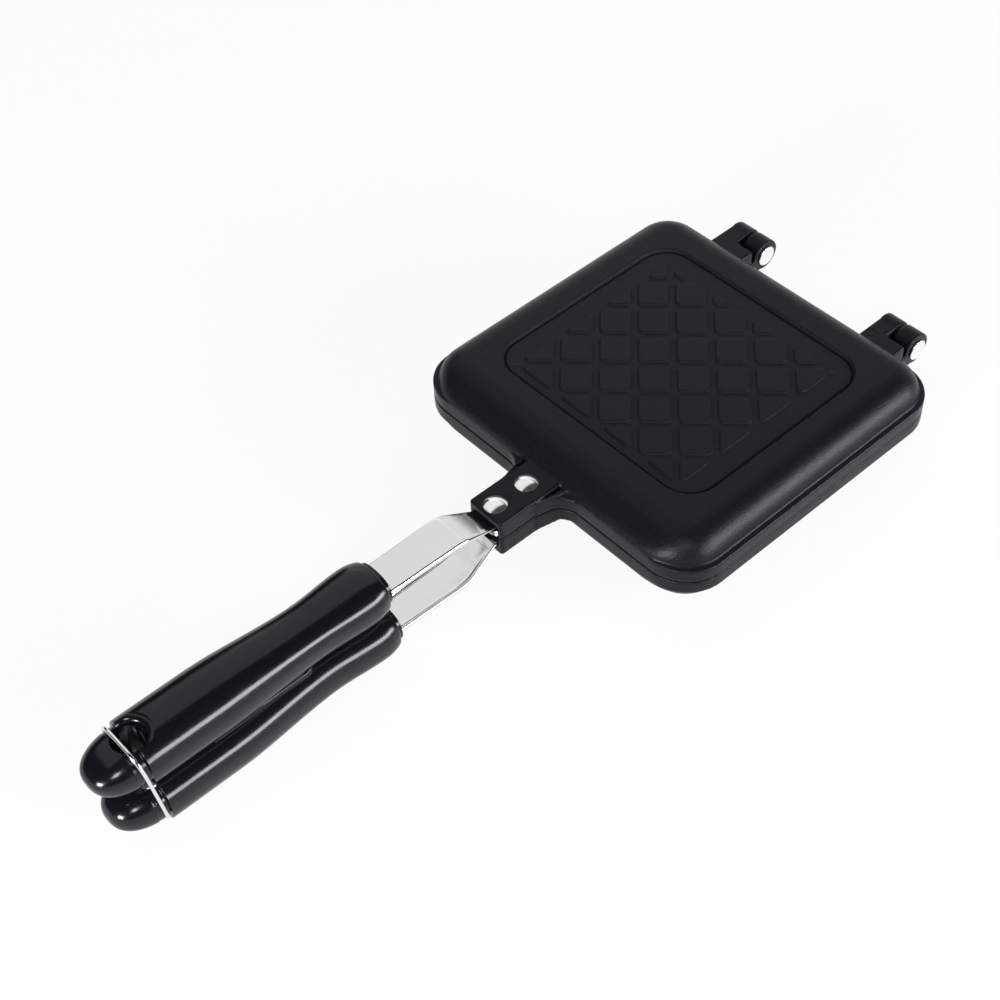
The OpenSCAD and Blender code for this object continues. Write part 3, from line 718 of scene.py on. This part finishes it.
def shank_mesh(end_x, handle):
    """The pressed steel: flat tongue, rising bend and dished web; the tang is added apart."""
    fine = np.arange(RISE_END_X - 9, NECK_END_X + 4, 0.5)
    xs = np.unique(np.concatenate([np.linspace(end_x, RISE_END_X - 9, 16), fine,
                                   np.linspace(NECK_END_X + 4, TONGUE_START_X, 10)]))
    rings = [[(x, y, z) for y, z in shank_section(x, end_x, handle)] for x in xs]
    return skin("shank", rings)


def add_tang(mesh, end_x, handle):
    """Adds the strip of steel that runs inside the grip."""
    sheet = handle.sheet / MM
    low, high = WEB_TOP - sheet + 0.02, WEB_TOP - 0.02
    work = bmesh.new()
    work.from_mesh(mesh)
    box = bmesh.ops.create_cube(work, size=1.0)["verts"]
    length = TANG_LENGTH + 1.0
    for vert in box:
        vert.co = Vector(((end_x + 1.0 + (vert.co.x - 0.5) * length) * MM,
                          vert.co.y * 2 * TANG_HALF_W * MM,
                          (low + (vert.co.z + 0.5) * (high - low)) * MM))
    work.to_mesh(mesh)
    work.free()


def drill(obj, cutters):
    """Adds a cut to the object for each cutter; they are needed until it is evaluated."""
    for index, cutter in enumerate(cutters):
        modifier = obj.modifiers.new(f"cut_{index}", "BOOLEAN")
        modifier.operation = "DIFFERENCE"
        modifier.solver = "EXACT"
        modifier.object = cutter


def cylinder_cutter(x, r, z0, z1):
    obj = link("cutter", lathe("cutter", [(0, z0), (r, z0), (r, z1), (0, z1)], 64))
    obj.matrix_world = Matrix.Translation((x * MM, 0, 0))
    return obj


def build_shanks():
    handle = bpy.context.scene.pie_iron_handle
    for half, matrix, body, shift in (("upper", UPPER, "lid", 0.0),
                                      ("lower", LOWER, "base", LOWER_GRIP_SHIFT)):
        end_x = GRIP_FRONT_X + shift + 0.04
        mesh = shank_mesh(end_x, handle)
        add_tang(mesh, end_x, handle)
        blank = link("shank_blank", mesh)
        cutters = [cylinder_cutter(x, RIVET_HOLE_R, 0, 10) for x in RIVET_XS]
        drill(blank, cutters)
        steel = evaluated(blank, half + "_shank")
        for cutter in cutters:
            bpy.data.objects.remove(cutter)
        smooth(steel, 50)
        node = half + "_shank"
        place(link(node + "_pressed", steel), matrix, node, body, "shank_steel")


# ---------------------------------------------------------------- grips

# Distance from the front, half width and height of the crown.
GRIP_STATIONS = ((2.0, 12.3, 22.3), (10.0, 12.3, 22.3), (33.0, 11.0, 21.4),
                 (80.0, 13.4, 24.35), (129.5, 13.4, 24.35))
SECTION_POWERS = (0.86, 0.9, 0.74)    # of the section's width, crown and inner face
FRONT_ROUND = 8.0
FRONT_DRAW = 0.14
COLLAR_LENGTH = 2.0
COLLAR_INSET = 1.6
# Distance from the front, and what is added to the collar's inset there.
COLLAR_RINGS = ((0.0, 0.3), (0.1, 0.1), (0.35, 0.0), (1.0, 0.0), (1.75, 0.0),
                (1.95, -0.1), (2.0, -0.35))
FRONT_RINGS = ((2.0, 0.5), (2.06, 0.22), (2.2, 0.05))
TAIL_ROUND = 19.5
TAIL_FALL = 24.5
TAIL_POWER = 2.1
TAIL_SIDE_POWER = 2.45
HOLE_U = GRIP_FRONT_X - HOLE_X
INNER_GAP = 1.5
GROOVE_INSET = 0.3
CLIP_GROOVE_W = 5.4
STEP_EDGE = 0.7                       # width of the soft edges of the step and its groove
RING_SIDES = 144
LAND = (54.0, 7.0, 0.15)              # length, half width and height of the inner pad
LAND_ROOT_Z = 6.0                     # how far the pad's root reaches into the grip
HANG_HOLE_R = 6.3
HANG_LIP_R = 2.9
HANG_LIP_TOP = 22.95
TANG_SLOT = (91, 5.1, (12.4, 13.8))   # depth, half width, and lowest and highest point
SCREW_BORE = ((0, -1), (3.9, -1), (3.9, 0.55), (2.1, 2.35), (2.1, 17.4), (0, 17.4))
WIRE_HOLE = (0.83, 18)                # radius, and reach to each side
SCREW_EDGE = 0.12                     # width of the broken edges of a screw


def eased(u, column):
    """Value of a station's column at distance u from the grip's front."""
    for p, q in zip(GRIP_STATIONS, GRIP_STATIONS[1:]):
        if u < q[0] or q is GRIP_STATIONS[-1]:
            share = float(smooth_step((u - p[0]) / (q[0] - p[0])))
            return p[column] + (q[column] - p[column]) * share
    return GRIP_STATIONS[-1][column]


def tail_share(u, length, power):
    t = min(1.0, max(0.0, (u - GRIP_LENGTH + length) / length))
    return max(0.0, 1.0 - t ** power) ** (1 / power)


def front_share(u):
    f = min(1.0, max(0.0, (COLLAR_LENGTH + FRONT_ROUND - u) / FRONT_ROUND))
    return 1.0 - FRONT_DRAW * f ** 2.2


def grip_ring(u, inset, shape_u=None):
    """One ring of the grip at distance u; shape_u is where its section is taken from."""
    s_u = u if shape_u is None else shape_u
    side = front_share(s_u) * tail_share(s_u, TAIL_ROUND, TAIL_SIDE_POWER)
    crown = front_share(s_u) * tail_share(s_u, TAIL_FALL, TAIL_POWER)
    a = (eased(s_u, 1) - (inset if s_u < HOLE_U else 0.7 * inset)) * side
    up = (eased(s_u, 2) - SECTION_Z - inset) * crown
    down = (SECTION_Z - INNER_GAP - inset) * side
    angle = np.linspace(0, 2 * math.pi, RING_SIDES, endpoint=False)
    c, s = np.cos(angle), np.sin(angle)
    wide, high, low = SECTION_POWERS
    y = a * np.sign(c) * np.abs(c) ** wide
    z = np.where(s > 0, up * np.abs(s) ** high, -down * np.abs(s) ** low)
    return [(GRIP_FRONT_X - u, yy, SECTION_Z + zz) for yy, zz in zip(y, z)]


def step_distance(handle):
    """How far the clip's step lies behind the grip's front."""
    return HOLE_U + handle.step_setback / MM


def clip_inset(u, handle):
    """How far the skin is set in behind the clip's step, with soft edges."""
    behind = smooth_step((u - step_distance(handle)) / STEP_EDGE)
    before_end = smooth_step((step_distance(handle) + CLIP_GROOVE_W - u) / STEP_EDGE)
    return handle.tail_inset / MM * float(behind) + GROOVE_INSET * float(behind * before_end)


def grip_skin(handle):
    """The outer skin of a grip: collar, rounded front, waist, palm swell, step and tail."""
    rings = [grip_ring(u, COLLAR_INSET + more, COLLAR_LENGTH) for u, more in COLLAR_RINGS]
    rings += [grip_ring(u, inset, COLLAR_LENGTH) for u, inset in FRONT_RINGS]
    front = [COLLAR_LENGTH + FRONT_ROUND * (1 - math.cos(t))
             for t in np.linspace(0.05, math.pi / 2, 16)]
    tail_start = GRIP_LENGTH - TAIL_FALL
    body = np.linspace(COLLAR_LENGTH + FRONT_ROUND, tail_start, 60)[1:]
    tail = [tail_start + TAIL_FALL * math.sin(t)
            for t in np.linspace(0, math.pi / 2 - 0.08, 48)[1:]]
    step_u = step_distance(handle)
    extra = [edge + d for edge in (step_u, step_u + CLIP_GROOVE_W - STEP_EDGE)
             for d in np.linspace(-0.1, 0.8, 10)]
    steps = sorted(u for u in front + list(body) + tail + extra if u > 2.3)
    spaced = [steps[0]]
    for u in steps[1:]:
        if u - spaced[-1] > 0.05:
            spaced.append(u)
    rings += [grip_ring(u, clip_inset(u, handle)) for u in spaced]
    points = [p for ring in rings for p in ring]
    faces = ring_faces(len(rings), RING_SIDES, True, False)
    pole = len(points)
    points.append((GRIP_FRONT_X - GRIP_LENGTH + 0.05, 0, SECTION_Z))
    last = (len(rings) - 1) * RING_SIDES
    faces += [(pole, last + k, last + (k + 1) % RING_SIDES) for k in range(RING_SIDES)]
    mesh = mesh_from("grip_skin", points, faces)
    outward(mesh)
    return mesh


def land_mesh():
    """The long oval pad on a grip's inner face, with a rounded edge."""
    length, half_w, low = LAND
    straight = length / 2 - half_w
    rings = []
    for inset, z in ((0.7, low), (0.35, low + 0.08), (0.1, low + 0.3), (0.0, low + 0.7),
                     (0.0, LAND_ROOT_Z)):
        ring = []
        for angle in np.linspace(0, 360, 96, endpoint=False):
            c, s = math.cos(math.radians(angle)), math.sin(math.radians(angle))
            ring.append((SCREW_X + (straight if c > 0 else -straight) + (half_w - inset) * c,
                         (half_w - inset) * s, z))
        rings.append(ring)
    return skin("land", rings)


def hole_profile():
    """The hanging hole: straight below, opening into a rounded lip at the crown."""
    lip = arc(HANG_HOLE_R + HANG_LIP_R, HANG_LIP_TOP - HANG_LIP_R, HANG_LIP_R, 180, 90, 18)
    mouth = [(HANG_HOLE_R + 0.5, 1.2), (HANG_HOLE_R + 0.15, 1.7), (HANG_HOLE_R, 2.2)]
    above = [(HANG_HOLE_R + HANG_LIP_R, 27), (0, 27)]
    return [(0, -1), (HANG_HOLE_R + 1.2, -1)] + mouth + lip + above


def box_cutter(low, high):
    work = bmesh.new()
    for vert in bmesh.ops.create_cube(work, size=1.0)["verts"]:
        vert.co = Vector([(low[i] + (vert.co[i] + 0.5) * (high[i] - low[i])) * MM
                          for i in range(3)])
    mesh = bpy.data.meshes.new("cutter")
    work.to_mesh(mesh)
    work.free()
    return link("cutter", mesh)


def grip_mesh(handle, pivot_x):
    """A whole grip; pivot_x is where the clip's wire enters it, or None."""
    blank = link("grip_blank", grip_skin(handle))
    pad = link("cutter", land_mesh())
    join = blank.modifiers.new("pad", "BOOLEAN")
    join.operation = "UNION"
    join.solver = "EXACT"
    join.object = pad
    hole = link("cutter", lathe("cutter", hole_profile(), 128))
    hole.matrix_world = Matrix.Translation((HOLE_X * MM, 0, 0))
    depth, half_w, (low, high) = TANG_SLOT
    slot = box_cutter((GRIP_FRONT_X - depth, -half_w, low), (GRIP_FRONT_X + 2, half_w, high))
    screw_hole = link("cutter", lathe("cutter", SCREW_BORE, 64))
    screw_hole.matrix_world = Matrix.Translation((SCREW_X * MM, 0, 0))
    cutters = [hole, slot, screw_hole]
    if pivot_x is not None:
        r, reach = WIRE_HOLE
        bore = [(0, -reach), (r, -reach), (r, reach), (0, reach)]
        wire_hole = link("cutter", lathe("cutter", bore, 32))
        turn = Matrix.Rotation(math.radians(90), 4, "X")
        wire_hole.matrix_world = Matrix.Translation((pivot_x * MM, 0, PIVOT_DROP * MM)) @ turn
        cutters.append(wire_hole)
    drill(blank, cutters)
    mesh = evaluated(blank, "grip")
    for cutter in cutters + [pad]:
        bpy.data.objects.remove(cutter)
    smooth(mesh, 38)
    return mesh


def build_grips():
    handle = bpy.context.scene.pie_iron_handle
    upper = link("upper_grip_moulded", grip_mesh(handle, None))
    place(upper, UPPER, "upper_grip", "lid", "grip_plastic")
    lower = link("lower_grip_moulded", grip_mesh(handle, HOLE_X - LOWER_GRIP_SHIFT))
    matrix = LOWER @ Matrix.Translation((LOWER_GRIP_SHIFT * MM, 0, 0))
    place(lower, matrix, "lower_grip", "base", "grip_plastic")


def finish_screws():
    """The frame's own grip screws, with broken edges and a plated finish."""
    material = finishes()["screw_steel"]
    for name in ("upper_grip_screw", "lower_grip_screw"):
        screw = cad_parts[name]
        screw.data.materials.clear()
        screw.data.materials.append(material)
        edge = screw.modifiers.new("broken edge", "BEVEL")
        edge.width = SCREW_EDGE * MM
        edge.segments = 2
        edge.limit_method = "ANGLE"


# ---------------------------------------------------------------- wire clip

LEG_HALF_GAP = 13.1
CLIP_BEND_R = 9.0
PIVOT_DROP = 15.0                     # from the rims' plane down to the clip's pivot
BAR_HEIGHT = 22.9
BAR_LEAN = 4.0
WIRE_END_R = 1.2                      # bend where the wire turns into its hole


def clip_path():
    """Middle line of the wire in the plane of the clip: (y, height above the pivot)."""
    reach = math.hypot(BAR_HEIGHT + PIVOT_DROP, BAR_LEAN)
    half = [(HANG_HOLE_R + 0.8, 0.0), (10.0, 0.0), (LEG_HALF_GAP - WIRE_END_R - 0.2, 0.0)]
    half += arc(LEG_HALF_GAP - WIRE_END_R, WIRE_END_R, WIRE_END_R, -90, 0, 9)
    half += [(LEG_HALF_GAP, h) for h in np.linspace(4, reach - CLIP_BEND_R - 1, 12)]
    half += arc(LEG_HALF_GAP - CLIP_BEND_R, reach - CLIP_BEND_R, CLIP_BEND_R, 0, 90, 22)
    half += [(LEG_HALF_GAP - CLIP_BEND_R - 2.4, reach)]
    return [(-y, h) for y, h in half] + [(0.0, reach)] + half[::-1]


def tube(name, path, r, sides=24):
    """A round wire along a path in the YZ plane, with chamfered ends."""
    path = [Vector((0, y, z)) for y, z in path]
    rings = []
    for i, point in enumerate(path):
        ahead = path[min(i + 1, len(path) - 1)]
        back = path[max(i - 1, 0)]
        along = (ahead - back).normalized()
        across = Vector((1, 0, 0))
        up = along.cross(across)
        rings.append([point + r * (math.cos(2 * math.pi * k / sides) * across
                                   + math.sin(2 * math.pi * k / sides) * up) for k in range(sides)])
    for end, step in ((0, 1), (-1, -1)):
        centre = path[end]
        inward = (path[end + step] - centre).normalized() * 0.2
        cap = [centre + (p - centre) * 0.75 for p in rings[end]]
        rings[end] = [p + inward for p in rings[end]]
        if end == 0:
            rings.insert(0, cap)
            path.insert(0, centre)
        else:
            rings.append(cap)
    return skin(name, rings)


def build_clip():
    handle = bpy.context.scene.pie_iron_handle
    wire = link("wire_clip_bent", tube("wire_clip", clip_path(), handle.wire / MM / 2))
    lean = math.atan(BAR_LEAN / (BAR_HEIGHT + PIVOT_DROP))
    matrix = Matrix.Translation((HOLE_X * MM, 0, (PARTING_Z - PIVOT_DROP) * MM))
    matrix = matrix @ Matrix.Rotation(-lean, 4, "Y")
    place(wire, matrix, "wire_clip", "clip", "wire_steel")


# ---------------------------------------------------------------- studio

CAMERA_PLACE = (-0.39024, -0.3505, 0.5386)
CAMERA_RIGHT = (0.74136888, -0.67008829, -0.03679504)
CAMERA_FORWARD = (0.42579053, 0.51204717, -0.74599606)
CAMERA_DOWN = (-0.51872401, -0.53739128, -0.66493309)
CAMERA_LENS = 63.112
SENSOR_WIDTH = 36.0
FLOOR_Z = -6.7
FLOOR_HALF_M = 6.0
LAMPS = {                             # place, target and size in metres; the powers are settings
    "overhead": ((0.35, 1.35, 1.3), (0.35, 1.3501, 0), (2.5, 2.5)),
    "strip": ((0.46, -1.15, 0.30), (-0.08, 0, 0), (1.3, 0.42)),
    "backdrop": ((1.6, 1.0, 0.56), (0, 0, 0.1), (3.0, 1.2)),
    "front": ((-0.95, -0.80, 1.10), (-0.05, -0.05, 0), (0.32, 0.32)),
    "corner": ((-1.38, -0.22, 0.28), (-0.05, -0.05, 0.03), (0.32, 0.22)),
}


def add_camera():
    data = bpy.data.cameras.new("camera")
    data.lens = CAMERA_LENS
    data.sensor_width = SENSOR_WIDTH
    data.dof.use_dof = False
    camera = bpy.data.objects.new("camera", data)
    bpy.context.scene.collection.objects.link(camera)
    columns = (Vector(CAMERA_RIGHT), -Vector(CAMERA_DOWN),
               -Vector(CAMERA_FORWARD), Vector(CAMERA_PLACE))
    matrix = Matrix.Identity(4)
    for column, vector in enumerate(columns):
        for row in range(3):
            matrix[row][column] = vector[row]
    camera.matrix_world = matrix
    bpy.context.scene.camera = camera


def add_lamp(name, place_at, target, size, power):
    """A soft rectangular lamp that faces its target."""
    data = bpy.data.lights.new(name, "AREA")
    data.shape = "RECTANGLE"
    data.size, data.size_y = size
    data.energy = power
    lamp = bpy.data.objects.new(name, data)
    bpy.context.scene.collection.objects.link(lamp)
    lamp.location = place_at
    facing = Vector(target) - Vector(place_at)
    lamp.rotation_euler = facing.to_track_quat("-Z", "Y").to_euler()


def add_floor(white):
    work = bmesh.new()
    bmesh.ops.create_grid(work, x_segments=2, y_segments=2, size=FLOOR_HALF_M)
    mesh = bpy.data.meshes.new("floor")
    work.to_mesh(mesh)
    work.free()
    floor = link("floor", mesh)
    floor.location.z = FLOOR_Z * MM
    material, tree, shader = new_material("floor_white")
    shader.inputs["Base Color"].default_value = (0.86, 0.86, 0.86, 1)
    shader.inputs["Roughness"].default_value = 0.9
    shader.inputs["Specular IOR Level"].default_value = 0.1
    glow = add_node(tree, "ShaderNodeEmission", Strength=1.0)
    glow.inputs["Color"].default_value = (1, 1, 1, 1)
    path = tree.nodes.new("ShaderNodeLightPath")
    share = add_node(tree, "ShaderNodeMath")
    share.operation = "MULTIPLY"
    share.inputs[1].default_value = white
    seen = add_node(tree, "ShaderNodeMath")
    seen.operation = "MAXIMUM"
    tree.links.new(path.outputs["Is Camera Ray"], seen.inputs[0])
    tree.links.new(path.outputs["Is Glossy Ray"], seen.inputs[1])
    tree.links.new(seen.outputs["Value"], share.inputs[0])
    mix_shaders(tree, share.outputs["Value"], shader.outputs["BSDF"], glow.outputs["Emission"],
                "OUTPUT_MATERIAL")
    mesh.materials.append(material)


def add_world(strength):
    world = bpy.data.worlds.new("studio")
    world.use_nodes = True
    tree = world.node_tree
    even = next(n for n in tree.nodes if n.type == "BACKGROUND")
    even.inputs["Color"].default_value = (1, 1, 1, 1)
    even.inputs["Strength"].default_value = strength
    white = tree.nodes.new("ShaderNodeBackground")
    white.inputs["Color"].default_value = (1, 1, 1, 1)
    white.inputs["Strength"].default_value = 1.0
    path = tree.nodes.new("ShaderNodeLightPath")
    mix_shaders(tree, path.outputs["Is Camera Ray"], even.outputs["Background"],
                white.outputs["Background"], "OUTPUT_WORLD")
    bpy.context.scene.world = world


def build_studio():
    studio = bpy.context.scene.pie_iron_studio
    bpy.context.scene.view_settings.view_transform = "Standard"
    add_floor(studio.floor_white)
    add_world(studio.world)
    for name, (place_at, target, size) in LAMPS.items():
        add_lamp(name, place_at, target, size, getattr(studio, name))
    add_camera()


# ---------------------------------------------------------------- operators and panel

class PieIronOperator:
    """Shared part of the operators: each runs one builder."""
    bl_options = {"REGISTER", "UNDO"}

    def execute(self, context):
        self.build()
        return {"FINISHED"}


class PIEIRON_OT_pans(PieIronOperator, bpy.types.Operator):
    """Build the two cast shells"""
    bl_idname = "pie_iron.pans"
    bl_label = "Pans"
    build = staticmethod(build_pans)


class PIEIRON_OT_pins(PieIronOperator, bpy.types.Operator):
    """Build the two hinge pins"""
    bl_idname = "pie_iron.pins"
    bl_label = "Hinge Pins"
    build = staticmethod(build_pins)


class PIEIRON_OT_rivets(PieIronOperator, bpy.types.Operator):
    """Build the four rivets"""
    bl_idname = "pie_iron.rivets"
    bl_label = "Rivets"
    build = staticmethod(build_rivets)


class PIEIRON_OT_shanks(PieIronOperator, bpy.types.Operator):
    """Build the two pressed steel shanks"""
    bl_idname = "pie_iron.shanks"
    bl_label = "Shanks"
    build = staticmethod(build_shanks)


class PIEIRON_OT_grips(PieIronOperator, bpy.types.Operator):
    """Build the two moulded grips"""
    bl_idname = "pie_iron.grips"
    bl_label = "Grips"
    build = staticmethod(build_grips)


class PIEIRON_OT_screws(PieIronOperator, bpy.types.Operator):
    """Finish the two grip screws"""
    bl_idname = "pie_iron.screws"
    bl_label = "Grip Screws"
    build = staticmethod(finish_screws)


class PIEIRON_OT_clip(PieIronOperator, bpy.types.Operator):
    """Build the swinging wire clip"""
    bl_idname = "pie_iron.clip"
    bl_label = "Wire Clip"
    build = staticmethod(build_clip)


class PIEIRON_OT_studio(PieIronOperator, bpy.types.Operator):
    """Build the floor, the lamps, the world and the camera"""
    bl_idname = "pie_iron.studio"
    bl_label = "Studio"
    build = staticmethod(build_studio)


OPERATORS = (PIEIRON_OT_pans, PIEIRON_OT_pins, PIEIRON_OT_rivets, PIEIRON_OT_shanks,
             PIEIRON_OT_grips, PIEIRON_OT_screws, PIEIRON_OT_clip, PIEIRON_OT_studio)


class PIEIRON_PT_panel(bpy.types.Panel):
    """Settings and builders of the pie iron"""
    bl_idname = "PIEIRON_PT_panel"
    bl_label = "Pie Iron"
    bl_space_type = "VIEW_3D"
    bl_region_type = "UI"
    bl_category = "Pie Iron"

    def draw(self, context):
        scene = context.scene
        for group in (scene.pie_iron_pans, scene.pie_iron_handle,
                      scene.pie_iron_finishes, scene.pie_iron_studio):
            column = self.layout.column(align=True)
            for key in group.__annotations__:
                column.prop(group, key)
        column = self.layout.column(align=True)
        for operator in OPERATORS:
            column.operator(operator.bl_idname)


CLASSES = SETTINGS + OPERATORS + (PIEIRON_PT_panel,)


def register():
    for cls in CLASSES:
        bpy.utils.register_class(cls)
    scene = bpy.types.Scene
    scene.pie_iron_pans = bpy.props.PointerProperty(type=PanSettings)
    scene.pie_iron_handle = bpy.props.PointerProperty(type=HandleSettings)
    scene.pie_iron_finishes = bpy.props.PointerProperty(type=FinishSettings)
    scene.pie_iron_studio = bpy.props.PointerProperty(type=StudioSettings)


def unregister():
    scene = bpy.types.Scene
    del scene.pie_iron_pans
    del scene.pie_iron_handle
    del scene.pie_iron_finishes
    del scene.pie_iron_studio
    for cls in reversed(CLASSES):
        bpy.utils.unregister_class(cls)


def main():
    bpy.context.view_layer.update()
    register()
    for operator in OPERATORS:
        group, name = operator.bl_idname.split(".")
        getattr(getattr(bpy.ops, group), name)()


if __name__ == "__main__":
    main()
